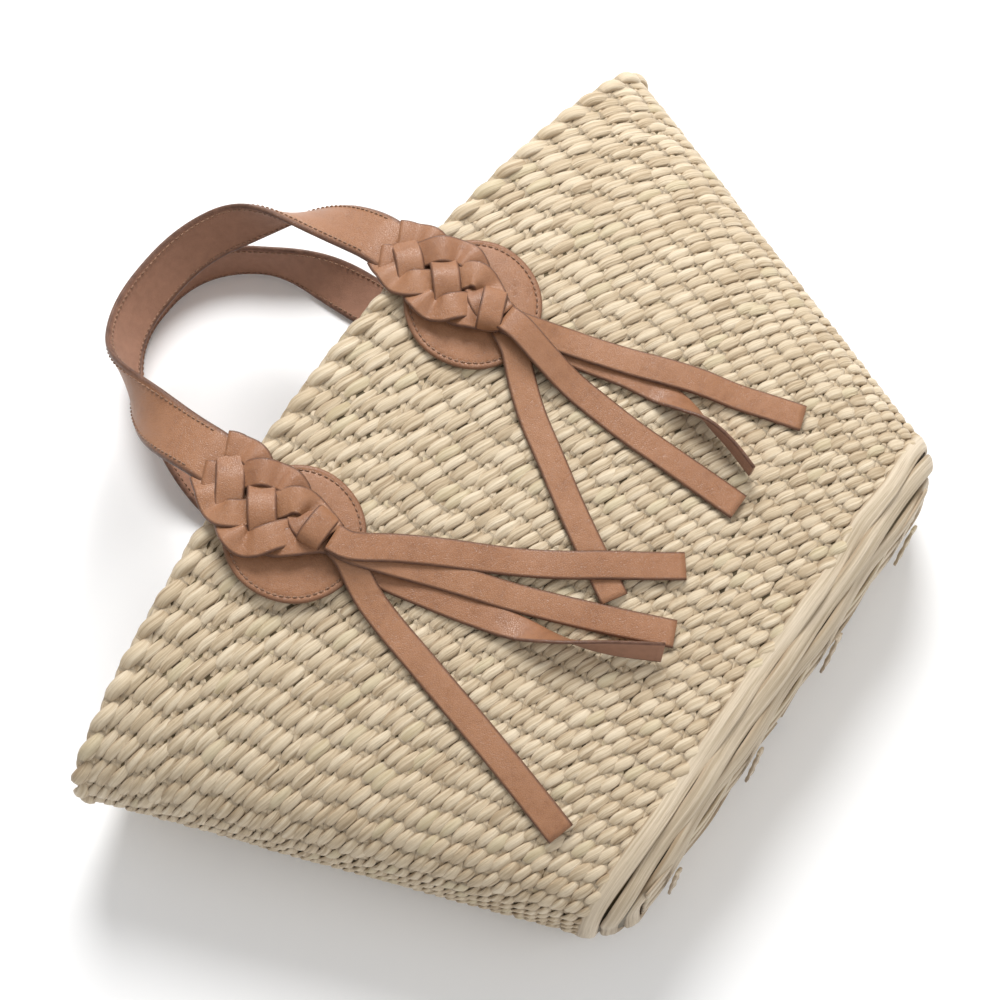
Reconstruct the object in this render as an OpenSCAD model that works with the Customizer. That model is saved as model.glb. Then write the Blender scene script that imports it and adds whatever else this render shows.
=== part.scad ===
// Woven straw tote with two leather handles, lying on its back panel.
// +X runs along the rim, +Y from the base to the rim, +Z out of the front panel.
// The origin is the centre of the flat back face. Millimetres.

/* [Bag] */
// Width of the mouth
rim_w = 450; // [420:5:480]
// Width of the base
base_w = 274; // [260:2:300]
// Height of the woven wall from base to rim
bag_h = 254; // [248:1:262]
// Depth of the bag at the mouth
rim_d = 106; // [100:1:112]
// Depth of the bag at the base
base_d = 82; // [78:1:88]
// Thickness of the woven wall
wall_t = 6; // [5:0.5:7]
// How far the ends of the rim lie below its middle
rim_arch = 20; // [12:1:24]

/* [Handles] */
// Distance between the two ends of a handle
handle_gap = 132; // [126:1:140]
// How far the handles sit from the middle of the bag
handle_shift = -8; // [-10:1:0]
// Width of a handle strap
strap_w = 26; // [22:1:28]
// Thickness of a strap with its lining
strap_t = 3; // [2.6:0.1:3.4]
// How far the front handle reaches past its fold
front_reach = 90; // [84:1:96]
// How far the middle of the front handle hangs below its fold
front_droop = 42; // [38:1:46]
// How far the rear handle reaches past its fold
rear_reach = 118; // [100:1:124]

/* [Leather fittings] */
// Radius of the round pads
pad_r = 32.5; // [30:0.5:34]
// Thickness of a front pad
pad_t = 3; // [2.5:0.1:3.2]
// Width of a lace
lace_w = 12; // [10:0.5:12.5]
// Thickness of a lace
lace_t = 1.8; // [1.4:0.1:2]

/* [Hidden] */

straw = [0.85, 0.77, 0.62];
straw_shade = [0.72, 0.64, 0.47];
tan_leather = [0.70, 0.49, 0.36];
flesh_side = [0.42, 0.26, 0.20];
thread = [0.45, 0.25, 0.17];

// Woven shell
mid_h = bag_h / 2;
base_t = 12;             // height of the base piece
splint_t = 1.8;          // thickness of the strips under the base
base_round = 20;         // radius where the wall turns into the base
depth_share = 0.8;       // share of that radius taken off the depth
rest_flat = 4;           // depth of back bulge pressed flat where the bag rests
base_square = 4.5;       // cross-section exponent at the base, nearly a rectangle
rim_square = 2.8;        // cross-section exponent at the rim, nearer an oval
back_lift = 3.4;         // room under the back panel for the rear pads
lift_start = 165;        // height at which the back panel begins to lift
lift_run = 20;           // height over which it lifts
around = 5;              // degrees between points round the bag
border_h = 6.5;          // height of the folded rim
border_proud = 1;        // how far the folded rim stands out of the wall

// Leather fittings, as heights above the front panel
pad_drop = 33;           // pad centre below the rim
knot_drop = 42;          // keeper centre below the rim
pad_gap = 0.2;
backing_r = 26;
backing_t = 1.4;
thread_r = 0.42;
thread_inset = 3.5;
keeper_w = 16.8;
keeper_l = 14;
keeper_low = 4.2;
keeper_high = 15;
bundle_w = 12.4;
bundle_low = 5.3;
bundle_high = 13.2;
fit_gap = 0.2;
plait_reach = 60.5;      // end of a plait past its keeper's centre
hinge_reach = 63;        // fold line of the front handle past the keeper's centre
hinge_rise = 2.3;        // fold line of the front handle above the panel's plane

// Straps
strap_rings = 49;
arch_power = 0.84;       // below 1 makes a squarer arch
hinge_gap = 3.5;         // from a fold line to the moving strap
layer_gap = 0.05;        // half the glue line between strap and lining
thread_gap = 0.35;
front_roll = 100;        // turn of the front strap at the middle of its arch, degrees
rear_roll = 85;
front_roll_run = 58;     // arch angle over which a strap turns on edge
rear_roll_run = 46;
rear_shift = 0;          // the rear handle's middle
left_pad_slip = 6.5;     // how far the left front pad sits outside its plait
left_pad_sink = 1;
rear_fold_y = 136;
floor_gap = 0.3;
tab_t = 1.5;
tab_l = 62;

left_x = handle_shift - handle_gap / 2;
right_x = handle_shift + handle_gap / 2;
rear_x = handle_gap / 2;
left_pad_x = left_x - left_pad_slip;
knot_y = bag_h - knot_drop - mid_h;
pad_y = bag_h - pad_drop - mid_h;
left_pad_y = pad_y - left_pad_sink;
panel_tilt = atan((rim_d - base_d) / bag_h);
front_fold_y = knot_y + hinge_reach * cos(panel_tilt);
front_fold_z = crown_z(knot_y) + hinge_reach * sin(panel_tilt) + hinge_rise;

// Lace routes: x, y, height of the lace's middle over the panel, turn about its own line.
// The lowest lace of each bundle lies on the panel and the others pass over it.
left_1 = [[-74, 75.5, 13.4, 0], [-72, 66, 12.7, 0], [-60, 51, 8.0, 0], [-49, 34, 5.9, 0],
    [-39, 17, 4.0, 0], [-29, 1, 2.2, 0], [-19.5, -14, 3.6, 0], [-9, -28, 3.7, 0],
    [2, -43, 3.0, 0], [13, -57, 1.3, 0]];
left_2 = [[-74, 75.5, 11.4, 0], [-73, 66, 10.6, 0], [-66, 50, 5.8, 0], [-58.5, 32, 3.7, 0],
    [-52, 14, 3.6, 0], [-46, -2, 1.8, 0], [-37, -24, 1.3, 0], [-27, -47, 1.3, 0],
    [-16, -71, 1.3, 0]];
left_3 = [[-74, 75.5, 7.4, 0], [-74, 66, 6.6, 0], [-72, 50, 1.6, 0], [-68, 32, 1.4, 0],
    [-63, 12, 1.4, 0], [-57, -10, 2.4, -10], [-51, -30, 6.2, -60], [-41, -50, 6.8, -98],
    [-27.5, -72, 6.4, -110]];
left_4 = [[-74, 75.5, 9.4, 0], [-76, 66, 8.6, 0], [-84, 50, 3.6, 0], [-89, 34, 1.9, 0],
    [-93.5, 16, 1.6, 0], [-99, -6, 1.6, 0], [-105, -30, 1.6, 0], [-112, -56, 1.6, 0],
    [-119, -81, 1.8, 0]];
right_1 = [[58, 75.5, 10.8, 0], [60, 66, 10.8, 0], [67.5, 50, 5.0, 0], [73, 34, 4.0, 0],
    [79, 17, 3.8, 0], [85.5, 0, 4.2, 0], [90.5, -14, 3.8, 0], [95.5, -30, 1.5, 0],
    [101, -46, 1.3, 0], [106, -61, 1.3, 0]];
right_2 = [[58, 75.5, 8.8, 0], [59.5, 66, 8.7, 0], [64.5, 50, 2.7, 0], [68.5, 34, 1.4, 0],
    [73, 17, 1.4, 0], [75.5, 0, 1.6, -4], [75.5, -14, 5.0, -40], [74.5, -28, 7.2, -80],
    [72, -42, 7.2, -88], [67, -57, 7.2, -88]];
right_3 = [[58, 75.5, 12.8, 0], [57.5, 66, 13.0, 0], [55, 50, 7.6, 0], [53, 34, 2.6, 0],
    [52, 18, 1.3, 0], [51, 0, 1.3, 0], [51, -20, 1.3, 0], [51, -40, 1.3, 0],
    [51, -61, 1.3, 0]];
right_4 = [[55.6, 74.6, 6.2, 0], [50.5, 65, 5.8, 0], [40, 53, 2.4, 0], [29, 39, 1.4, 0],
    [17, 20, 1.3, 0], [6, 3, 1.3, 0], [-3, -12, 1.3, 0], [-11, -26, 1.3, 0],
    [-19, -40, 1.3, 0]];

// ---- Shape of the woven shell. Heights h run from 0 at the base to bag_h at the rim. ----

function lerp(a, b, t) = a + (b - a) * t;
function clamp01(t) = min(1, max(0, t));
function smooth(t) = let (s = clamp01(t)) s * s * (3 - 2 * s);
function bent(v, p) = sign(v) * pow(abs(v), p);
function half_w(h) = lerp(base_w, rim_w, h / bag_h) / 2;
function half_d(h) = (lerp(base_d, rim_d, h / bag_h) + rest_flat) / 2;
function square(h) = lerp(base_square, rim_square, h / bag_h);
function tuck(h) =
    let (rest = base_round - min(h, base_round))
    base_round - sqrt(base_round * base_round - rest * rest);
function lift(h) = back_lift * smooth((h - lift_start) / lift_run);
function arch(h) = rim_arch * clamp01((h - 30) / (bag_h - 30));
function settle(z, h, inset) =
    max(z - rest_flat, inset) + lift(h) * (1 - z / (2 * half_d(h)));

// Point of the shell at height h and angle a, moved inwards by inset
function shell_point(h, a, inset) =
    let (
        p = 2 / square(h),
        x = (half_w(h) - tuck(h) - inset) * bent(cos(a), p),
        z = half_d(h) + (half_d(h) - depth_share * tuck(h) - inset) * bent(sin(a), p)
    )
    [x, h - mid_h - arch(h) * pow(x / half_w(h), 2), settle(z, h, inset)];

// Height of the front panel's middle line, and of the panel at any x and y
function crown_z(y) = lerp(base_d, rim_d, (y + mid_h) / bag_h);
function panel_z(x, y) =
    let (
        h = y + mid_h,
        n = square(h),
        fall = 1 - pow(min(0.999, abs(x) / half_w(h)), n)
    )
    settle(half_d(h) * (1 + pow(fall, 1 / n)), h, 0);

// ---- Closed skins ----

// Skin over rings of equal length, closed at both ends
module skin(rings) {
    count = len(rings);
    sides = len(rings[0]);
    half = sides / 2;
    points = [for (ring = rings) each ring];
    sheet = [for (i = [0:count - 2], j = [0:sides - 1])
        let (
            a = i * sides + j,
            b = i * sides + (j + 1) % sides,
            c = b + sides,
            d = a + sides
        )
        each (j < half ? [[a, b, c], [a, c, d]] : [[a, b, d], [b, c, d]])];
    caps = [
        [for (j = [0:sides - 1]) sides - 1 - j],
        [for (j = [0:sides - 1]) (count - 1) * sides + j]
    ];
    polyhedron(points = points, faces = concat(sheet, caps), convexity = 10);
}

// Skin over closed sections that follow each other round a loop
module loop_skin(sections) {
    count = len(sections);
    sides = len(sections[0]);
    points = [for (section = sections) each section];
    sheet = [for (i = [0:count - 1], j = [0:sides - 1])
        let (
            next = (i + 1) % count,
            a = i * sides + j,
            b = i * sides + (j + 1) % sides,
            c = next * sides + (j + 1) % sides,
            d = next * sides + j
        )
        each [[a, b, c], [a, c, d]]];
    polyhedron(points = points, faces = sheet, convexity = 10);
}

// ---- Woven pieces ----

wall_levels = concat([base_t, 14, 17, 22], [30:24:150], [lift_start : 8 : lift_start + 24],
    [205, 230, bag_h]);
function levels() = [for (part = wall_levels) each (is_num(part) ? [part] : [for (v = part) v])];

module woven_wall() {
    heights = levels();
    tops = [for (i = [len(heights) - 1 : -1 : 0]) heights[i]];
    color(straw) loop_skin([for (a = [0:around:360 - around]) concat(
        [for (h = tops) shell_point(h, a, 0)],
        [for (h = heights) shell_point(h, a, wall_t)]
    )]);
}

// Point of the folded rim: across the wall from its middle, and up
function border_point(a, across, up) =
    let (
        outer = shell_point(bag_h, a, 0),
        inner = shell_point(bag_h, a, wall_t),
        middle = (outer + inner) / 2
    )
    middle + (outer - inner) * across / wall_t + [0, up, 0];

module rim_border() {
    half = wall_t / 2;
    wide = half + border_proud;
    profile = [[-half, 0.05], [-wide, 1.6], [-half, 5], [-half / 2, border_h],
        [half / 2, border_h], [half, 5], [wide, 1.6], [half, 0.05]];
    color(straw) loop_skin([for (a = [0:around:360 - around])
        [for (p = profile) border_point(a, p.x, p.y)]]);
}

module woven_base() {
    heights = [splint_t, 3, 5, 8, base_t];
    color(straw_shade) skin([for (h = heights)
        [for (a = [0:around:360 - around]) shell_point(h, a, 0)]]);
}

module base_splints() {
    splint_w = 10.5;
    splint_step = 11.5;
    splint_l = base_w - 2 * base_round - 12;
    color(straw) for (i = [-2:2])
        translate([-splint_l / 2, -mid_h, base_d / 2 + i * splint_step - splint_w / 2])
            cube([splint_l, splint_t, splint_w]);
}

// ---- Leather fittings ----

// Puts a piece on the front panel's plane at x and y
module on_front(x, y) {
    translate([x, y, crown_z(y)]) rotate([panel_tilt, 0, 0]) children();
}

module front_pad(x, y) {
    color(tan_leather) on_front(x, y) translate([0, 0, pad_gap])
        cylinder(r = pad_r, h = pad_t, $fn = 72);
}

module rear_pad(x) {
    color(tan_leather) translate([x, left_pad_y, tab_t + 0.15])
        cylinder(r = pad_r, h = tab_t, $fn = 72);
}

module pad_thread(x, y) {
    color(thread) on_front(x, y) translate([0, 0, pad_gap + pad_t + thread_r])
        rotate_extrude($fn = 72) translate([pad_r - thread_inset, 0]) circle(r = thread_r, $fn = 16);
}

module front_backing(x) {
    color(tan_leather) on_front(x, pad_y - 4) translate([0, 0, -wall_t - backing_t - 2.4])
        cylinder(r = backing_r, h = backing_t, $fn = 72);
}

module rear_backing(x) {
    color(tan_leather) translate([x, pad_y - 4, wall_t + back_lift + 0.1])
        cylinder(r = backing_r, h = backing_t, $fn = 72);
}

// Side view of a plait: along the bag from the keeper's centre, and height over the panel
plait_side = [[7, keeper_low], [41, keeper_low], [47, 2], [plait_reach, 0.8],
    [plait_reach, 3.8], [50, 7.6], [42, 11], [30, 12.6], [7, bundle_high]];
// Plan view of half a plait: distance from its middle line, and along the bag
plait_plan = [[7, 7], [15, 15], [19, 25], [18, 45], [strap_w / 2 + 0.5, plait_reach]];

module plait(x) {
    outline = concat(plait_plan, [for (i = [len(plait_plan) - 1 : -1 : 0])
        [-plait_plan[i].x, plait_plan[i].y]]);
    color(tan_leather) on_front(x, knot_y) {
        intersection() {
            linear_extrude(height = 20) polygon(outline);
            rotate([90, 0, 90]) translate([0, 0, -30]) linear_extrude(height = 60)
                polygon(plait_side);
        }
        translate([-bundle_w / 2, -keeper_l / 2, bundle_low])
            cube([bundle_w, keeper_l, bundle_high - bundle_low]);
    }
}

module keeper(x) {
    color(tan_leather) on_front(x, knot_y) difference() {
        translate([-keeper_w / 2, -keeper_l / 2 + fit_gap, keeper_low])
            cube([keeper_w, keeper_l - 2 * fit_gap, keeper_high - keeper_low]);
        translate([-bundle_w / 2 - fit_gap, -keeper_l, bundle_low - fit_gap])
            cube([bundle_w + 2 * fit_gap, 2 * keeper_l, bundle_high - bundle_low + 2 * fit_gap]);
    }
}

module rear_tab(x) {
    color(tan_leather) translate([x - strap_w / 2, rear_fold_y - 2.5 - tab_l, 0.1])
        cube([strap_w, tab_l, tab_t]);
}

// ---- Straps ----

// A handle is [reach, droop, fold y, fold z, turn at the middle, face at the ends, turning run, middle x].
// The face is 1 where the outer side looks up at the ends, and -1 where it looks down.
front_handle = [front_reach, front_droop, front_fold_y, front_fold_z, front_roll, 1,
    front_roll_run, handle_shift];
rear_handle = [rear_reach, 0, rear_fold_y, 0, rear_roll, -1, rear_roll_run, rear_shift];

function strap_roll(handle, phi) = handle[4] * smooth(min(phi, 180 - phi) / handle[6]);
function strap_rise(handle, phi) = handle[5] > 0 ? 0 :
    let (w = strap_roll(handle, phi)) floor_gap + strap_t / 2 * cos(w) + strap_w / 2 * sin(w);
function strap_point(handle, phi) = [
    handle[7] + handle_gap / 2 * bent(cos(phi), arch_power),
    handle[2] + handle[0] * bent(sin(phi), arch_power),
    handle[3] - handle[1] * sin(phi) + strap_rise(handle, phi)
];
function unit(v) = v / norm(v);

// Ring of the strap at arch angle phi: profile points are [across, off the middle]
function strap_ring(handle, phi, profile) =
    let (
        middle = strap_point(handle, phi),
        along = unit(strap_point(handle, phi + 0.2) - strap_point(handle, phi - 0.2)),
        up = unit([0, handle[1], handle[0]]),
        out = unit(cross(along, up)),
        above = cross(out, along),
        w = strap_roll(handle, phi),
        face = above * handle[5] * cos(w) + out * sin(w),
        side = cross(along, face)
    )
    [for (p = profile) middle + side * p.x + face * p.y];

module strap_skin(handle, profile) {
    first = asin(pow(hinge_gap / handle[0], 1 / arch_power));
    step = (180 - 2 * first) / (strap_rings - 1);
    skin([for (i = [0:strap_rings - 1]) strap_ring(handle, first + i * step, profile)]);
}

function band(low, high) = [
    [strap_w / 2, high], [-strap_w / 2, high], [-strap_w / 2, low], [strap_w / 2, low]
];
function thread_line(across) = [
    [across + thread_r, strap_t / 2 + 2 * thread_r], [across - thread_r, strap_t / 2 + 2 * thread_r],
    [across - thread_r, strap_t / 2 + thread_gap], [across + thread_r, strap_t / 2 + thread_gap]
];

module strap(handle) {
    color(tan_leather) strap_skin(handle, band(layer_gap, strap_t / 2));
}

module strap_lining(handle) {
    color(flesh_side) strap_skin(handle, band(-strap_t / 2, -layer_gap));
}

module strap_thread(handle) {
    for (across = [-1, 1])
        color(thread) strap_skin(handle, thread_line(across * (strap_w / 2 - 2.5)));
}

// ---- Laces ----

// Ring of a lace at route point i, laid on the panel across its own line
function lace_ring(route, i) =
    let (
        last = len(route) - 1,
        here = route[i],
        ahead = route[min(last, i + 1)] - route[max(0, i - 1)],
        along = unit([ahead.x, ahead.y]),
        side = [-along.y, along.x],
        w = here[3],
        profile = [[0.5, 0.28], [0.46, 0.5], [-0.46, 0.5], [-0.5, 0.28],
            [-0.5, -0.28], [-0.46, -0.5], [0.46, -0.5], [0.5, -0.28]]
    )
    [for (p = profile)
        let (
            u = p.x * lace_w,
            v = p.y * lace_t,
            x = here.x + side.x * (u * cos(w) - v * sin(w)),
            y = here.y + side.y * (u * cos(w) - v * sin(w))
        )
        [x, y, panel_z(x, y) + here.z + u * sin(w) + v * cos(w)]];

module lace(route) {
    color(tan_leather) skin([for (i = [0:len(route) - 1]) lace_ring(route, i)]);
}

woven_wall();
rim_border();
woven_base();
base_splints();
front_pad(left_pad_x, left_pad_y);  // front_left_pad
front_pad(right_x, pad_y);  // front_right_pad
rear_pad(-rear_x);  // rear_left_pad
rear_pad(rear_x);  // rear_right_pad
pad_thread(left_pad_x, left_pad_y);  // front_left_pad_thread
pad_thread(right_x, pad_y);  // front_right_pad_thread
front_backing(left_x);  // front_left_backing
front_backing(right_x);  // front_right_backing
rear_backing(-rear_x);  // rear_left_backing
rear_backing(rear_x);  // rear_right_backing
plait(left_x);  // left_plait
plait(right_x);  // right_plait
keeper(left_x);  // left_keeper
keeper(right_x);  // right_keeper
rear_tab(-rear_x);  // rear_left_tab
rear_tab(rear_x);  // rear_right_tab
strap(front_handle);  // front_strap
strap_lining(front_handle);  // front_strap_lining
strap_thread(front_handle);  // front_strap_thread
strap(rear_handle);  // rear_strap
strap_lining(rear_handle);  // rear_strap_lining
strap_thread(rear_handle);  // rear_strap_thread
lace(left_1);  // left_lace_1
lace(left_2);  // left_lace_2
lace(left_3);  // left_lace_3
lace(left_4);  // left_lace_4
lace(right_1);  // right_lace_1
lace(right_2);  // right_lace_2
lace(right_3);  // right_lace_3
lace(right_4);  // right_lace_4
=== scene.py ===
"""Straw beach bag: weaves the bag and cuts its leather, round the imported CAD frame."""

import math

import bpy
import numpy as np
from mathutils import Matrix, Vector


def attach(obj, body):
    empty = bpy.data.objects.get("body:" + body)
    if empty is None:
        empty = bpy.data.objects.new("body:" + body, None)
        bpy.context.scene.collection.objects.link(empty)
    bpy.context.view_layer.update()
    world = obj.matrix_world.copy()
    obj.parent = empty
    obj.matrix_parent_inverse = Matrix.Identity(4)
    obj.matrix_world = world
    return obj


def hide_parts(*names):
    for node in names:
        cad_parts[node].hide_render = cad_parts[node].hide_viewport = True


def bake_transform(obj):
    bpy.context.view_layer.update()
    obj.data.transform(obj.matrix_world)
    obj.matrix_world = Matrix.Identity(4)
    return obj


bl_info = {
    "name": "Straw Beach Bag",
    "version": (1, 0, 0),
    "blender": (4, 5, 0),
    "location": "View3D > Sidebar > Beach Bag",
    "description": "Weaves a straw beach bag and cuts its leather handles, pads and laces",
    "category": "Object",
}

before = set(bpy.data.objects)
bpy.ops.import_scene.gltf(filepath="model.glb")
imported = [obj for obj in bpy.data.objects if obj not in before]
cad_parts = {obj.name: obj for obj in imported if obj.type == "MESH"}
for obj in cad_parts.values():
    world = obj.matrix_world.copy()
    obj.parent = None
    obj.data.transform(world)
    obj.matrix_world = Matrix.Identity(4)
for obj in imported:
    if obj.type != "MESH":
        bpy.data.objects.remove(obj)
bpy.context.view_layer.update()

# ---- Driving dimensions of the bag, in metres, as the CAD part has them ----

RIM_W, BASE_W = 0.450, 0.274
RIM_D, BASE_D = 0.106, 0.082
BAG_H = 0.254
MID_H = BAG_H / 2
WALL_T = 0.006
RIM_ARCH = 0.020
BASE_ROUND = 0.020
DEPTH_SHARE = 0.8
REST_FLAT = 0.004
BASE_SQUARE, RIM_SQUARE = 4.5, 2.8
BACK_LIFT, LIFT_START, LIFT_RUN = 0.0034, 0.165, 0.020
HANDLE_SHIFT, HANDLE_GAP = -0.008, 0.132
PANEL_TILT = math.atan((RIM_D - BASE_D) / BAG_H)
PAD_DROP, KNOT_DROP = 0.033, 0.042
PAD_Y = BAG_H - PAD_DROP - MID_H
KNOT_Y = BAG_H - KNOT_DROP - MID_H
LEFT_X = HANDLE_SHIFT - HANDLE_GAP / 2
RIGHT_X = HANDLE_SHIFT + HANDLE_GAP / 2
REAR_X = HANDLE_GAP / 2
LACE_W, LACE_T = 0.0135, 0.0018
UP = np.array([0.0, 0.0, 1.0])
# Outward from the front panel at its middle line
PANEL_OUT = np.array([0.0, -math.sin(PANEL_TILT), math.cos(PANEL_TILT)])

# Round pads: sizes, and how far the left front one sits outside and below its plait
PAD_R, PAD_T, PAD_RISE = 0.0325, 0.003, 0.0017
REAR_PAD_T, REAR_PAD_RISE = 0.0015, 0.0024
PAD_SLIP, PAD_SINK = 0.0065, 0.001
PADS = {"left": (LEFT_X - PAD_SLIP, PAD_Y - PAD_SINK, -REAR_X), "right": (RIGHT_X, PAD_Y, REAR_X)}
# Backing patches inside the wall: sizes, middle, and how far they lie in from each panel
PATCH_R, PATCH_T = 0.026, 0.0014
PATCH_Y = PAD_Y - 0.004
PATCH_DEPTH = WALL_T + 0.0031
PATCH_RISE = WALL_T + 0.0042


# ---- Shape of the shell: heights h run from 0 at the base to BAG_H at the rim ----


def lerp(a, b, t):
    return a + (b - a) * t


def smooth(t):
    s = np.clip(t, 0, 1)
    return s * s * (3 - 2 * s)


def bent(v, power):
    return np.sign(v) * np.abs(v) ** power


def half_w(h):
    """Half the bag's width at height h; half_d is half its depth there."""
    return lerp(BASE_W, RIM_W, h / BAG_H) / 2


def half_d(h):
    return (lerp(BASE_D, RIM_D, h / BAG_H) + REST_FLAT) / 2


def square(h):
    """Exponent of the cross-section at height h: the higher, the nearer to a rectangle."""
    return lerp(BASE_SQUARE, RIM_SQUARE, h / BAG_H)


def tuck(h):
    """How far the wall turns in at height h, where it rounds into the base."""
    rest = BASE_ROUND - np.minimum(h, BASE_ROUND)
    return BASE_ROUND - np.sqrt(np.maximum(BASE_ROUND**2 - rest**2, 0))


def arch(h, x):
    """How far a row at height h dips at x: the rim's ends hang lower than its middle."""
    low = 0.030
    return RIM_ARCH * np.clip((h - low) / (BAG_H - low), 0, 1.05) * (x / half_w(h)) ** 2


def settle(z, h, inset=0.0):
    """Presses the back panel flat where the bag rests on it, and lifts it near the rim."""
    lifted = BACK_LIFT * smooth((h - LIFT_START) / LIFT_RUN)
    return np.maximum(z - REST_FLAT, inset) + lifted * (1 - z / (2 * half_d(h)))


def shell_points(h, angles, inset=0.0):
    """Points of the shell at height h, at these angles in radians."""
    power = 2 / square(h)
    x = (half_w(h) - tuck(h) - inset) * bent(np.cos(angles), power)
    z = half_d(h) + (half_d(h) - DEPTH_SHARE * tuck(h) - inset) * bent(np.sin(angles), power)
    return np.stack([x, h - MID_H - arch(h, x), settle(z, h, inset)], -1)


def panel_z(x, y):
    """Height of the front panel at x and y."""
    h = y + MID_H
    n = square(h)
    fall = 1 - np.minimum(0.999, np.abs(x) / half_w(h)) ** n
    return settle(half_d(h) * (1 + fall ** (1 / n)), h)


def panel_normal(x, y):
    """Outward direction of the front panel at x and y."""
    step = 0.002
    dx = (panel_z(x + step, y) - panel_z(x - step, y)) / (2 * step)
    dy = (panel_z(x, y + step) - panel_z(x, y - step)) / (2 * step)
    return unit(np.stack([-dx, -dy, np.ones_like(dx)], -1))


def on_front(points, x, y):
    """Puts points given on a flat plane onto the front panel's plane at x and y."""
    crown = lerp(BASE_D, RIM_D, (y + MID_H) / BAG_H)
    c, s = math.cos(PANEL_TILT), math.sin(PANEL_TILT)
    p = np.asarray(points, float)
    px, py, pz = p[..., 0], p[..., 1], p[..., 2]
    return np.stack([x + px, y + c * py - s * pz, crown + s * py + c * pz], -1)


def unit(v):
    return v / np.maximum(np.linalg.norm(v, axis=-1, keepdims=True), 1e-12)


def along_of(path):
    return unit(np.gradient(path, axis=0))


def length_along(path):
    return np.concatenate([[0], np.cumsum(np.linalg.norm(np.diff(path, axis=0), axis=1))])


def resample(path, step):
    """Points every step or so along a path, and each extra column with them."""
    run = length_along(path[:, :3])
    wanted = np.linspace(0, run[-1], max(4, int(round(run[-1] / step)) + 1))
    return np.stack([np.interp(wanted, run, path[:, k]) for k in range(path.shape[1])], -1)


def curve_through(points, per_span=10):
    """A smooth curve through points, with any extra columns smoothed too."""
    p = np.asarray(points, float)
    p = np.vstack([2 * p[0] - p[1], p, 2 * p[-1] - p[-2]])
    t = np.linspace(0, 1, per_span, endpoint=False)[:, None]
    spans = []
    for a, b, c, d in zip(p[:-3], p[1:-2], p[2:-1], p[3:]):
        square_term = (2 * a - 5 * b + 4 * c - d) * t**2
        cube_term = (3 * b - a - 3 * c + d) * t**3
        spans.append(0.5 * (2 * b + (c - a) * t + square_term + cube_term))
    return np.vstack([*spans, p[-2]])


# ---- Meshes made of many tubes and strips ----


class Builder:
    """Gathers tubes and skins into one mesh, with their fibre direction, edges, flesh side and painted shade
    as attributes.
    """

    def __init__(self):
        self.points, self.lay, self.mark, self.faces = [], [], [], []
        self.count = 0

    def tube(self, rings, lay, mark, closed=False):
        """Adds a tube over rings, an array of (n, sides, 3).
        lay is along, across and a random number; mark is edge, flesh side and painted shade where a straw
        strand dives behind its partner."""
        n, sides, _ = rings.shape
        middle = n // 2
        ahead = rings[min(middle + 1, n - 1)].mean(0) - rings[middle - 1].mean(0)
        ring = rings[middle] - rings[middle].mean(0)
        facing = np.cross(ring, np.roll(ring, -1, 0)).sum(0) @ ahead > 0
        i = np.arange(n if closed else n - 1)[:, None]
        j = np.arange(sides)[None, :]
        a, b = i * sides + j, i * sides + (j + 1) % sides
        c, d = (i + 1) % n * sides + (j + 1) % sides, (i + 1) % n * sides + j
        quads = np.stack([a, b, c, d] if facing else [d, c, b, a], -1).reshape(-1, 4) + self.count
        self.faces += quads.tolist()
        if not closed:
            first, last = list(range(sides)), list(range((n - 1) * sides, n * sides))
            ends = [first[::-1], last] if facing else [first, last[::-1]]
            self.faces += [[self.count + v for v in end] for end in ends]
        self.points.append(rings.reshape(-1, 3))
        self.lay.append(np.broadcast_to(lay, rings.shape).reshape(-1, 3))
        self.mark.append(np.broadcast_to(mark, rings.shape).reshape(-1, 3))
        self.count += n * sides

    def make(self, name, material):
        """Turns what was gathered into one named piece."""
        mesh = bpy.data.meshes.new(name)
        mesh.from_pydata(np.concatenate(self.points).tolist(), [], self.faces)
        for key, values in (("lay", self.lay), ("mark", self.mark)):
            attribute = mesh.attributes.new(key, "FLOAT_VECTOR", "POINT")
            attribute.data.foreach_set("vector", np.concatenate(values).astype(np.float32).ravel())
        mesh.polygons.foreach_set("use_smooth", [True] * len(mesh.polygons))
        mesh.materials.append(material)
        mesh.update()
        made = bpy.data.objects.new(name, mesh)
        bpy.context.scene.collection.objects.link(made)
        return made


# A strip's cross-section: across and height as shares of half its width and of its thickness
STRIP_RIGHT = [(0.4, 0.5), (0.80, 0.5), (0.87, 0.5), (0.95, 0.36), (1.0, 0.1)]
STRIP_TOP = [(-a, b) for a, b in reversed(STRIP_RIGHT)] + STRIP_RIGHT
STRIP_SECTION = np.array(STRIP_TOP + [(-a, -b) for a, b in STRIP_TOP])


def strip(builder, path, normals, width, thick, cup=0.0, wave=0.0, seed=0.0, closed=False):
    """Adds a flat strip that follows path, its face along normals.
    cup is the height of its crown and wave the height of the ripples along its edges."""
    n = len(path)
    ripple_step = 0.011
    tangent = unit(np.roll(path, -1, 0) - np.roll(path, 1, 0)) if closed else along_of(path)
    side = unit(np.cross(tangent, normals))
    face = unit(np.cross(side, tangent))
    width = np.broadcast_to(width, (n,)) / 2
    thick = np.broadcast_to(thick, (n,))
    run = length_along(path)
    across, high = STRIP_SECTION[:, 0], STRIP_SECTION[:, 1]
    ripple = wave * np.sin(run / ripple_step + seed * 40)[:, None] * across[None, :]
    over = np.outer(width, across)
    lifted = np.outer(thick, high) + cup * (1 - across**2)[None, :] + ripple
    rings = path[:, None] + side[:, None] * over[..., None] + face[:, None] * lifted[..., None]
    lay = np.stack([np.broadcast_to(run[:, None], over.shape), over, np.full(over.shape, seed)], -1)
    # Edge mask: a burnished edge on leather; on straw splints it drives painted shade
    edge = np.clip((np.abs(across) - 0.8) / 0.12, 0, 1)
    flesh = (high < -0.2).astype(float)
    mark = np.broadcast_to(np.stack([edge, flesh, np.zeros_like(edge)], -1), rings.shape)
    builder.tube(rings, lay, mark, closed)


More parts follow.
